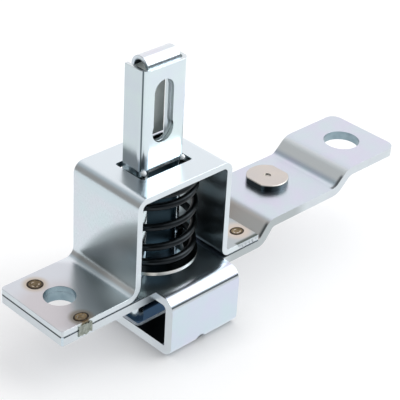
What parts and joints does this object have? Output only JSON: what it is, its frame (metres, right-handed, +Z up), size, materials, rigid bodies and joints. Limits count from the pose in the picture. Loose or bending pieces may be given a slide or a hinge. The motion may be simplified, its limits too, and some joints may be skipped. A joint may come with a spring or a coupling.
{
  "type": "tailgate latch",
  "caption": "Sprung tailgate latch: a stepped steel strip with a folded mouth, and a hat bracket that guides a keyholed plunger down across the mouth.",
  "frame": {"origin": "on the axis of the left bolt hole, where the hat bracket's foot lies on the strip", "axes": "+X along the strip towards its raised end, +Y towards the strip's back edge, +Z up along the plunger"},
  "size_m": [0.1427, 0.0355, 0.0893],
  "materials": {
    "strip_zinc": "bright zinc plate on stamped sheet",
    "hat_zinc": "bright zinc plate on stamped sheet, lightly streaked",
    "plunger_zinc": "bright zinc plate on folded sheet",
    "strap_zinc": "bright zinc plate on folded strap",
    "pin_steel": "plain drawn steel",
    "washer_steel": "dull zinc plate",
    "spring_steel": "dark oiled spring wire",
    "stud_zinc": "zinc plate with a warm tint"
  },
  "bodies": {
    "housing": {"base_plate": "strip_zinc", "hat_bracket": "hat_zinc", "pivot_stud": "stud_zinc", "plunger_spring": "spring_steel"},
    "plunger": {"plunger_channel": "plunger_zinc", "plunger_strap": "strap_zinc", "cross_pin": "pin_steel", "spring_washer": "washer_steel"}
  },
  "joints": [
    {"name": "plunger_slide", "type": "slide", "parent": "housing", "child": "plunger", "axis": [0, 0, 1], "range_m": [0, 0.0135], "stiffness_N_per_m": 2000, "springref_m": -0.012, "deforming": ["plunger_spring"]}
  ]
}
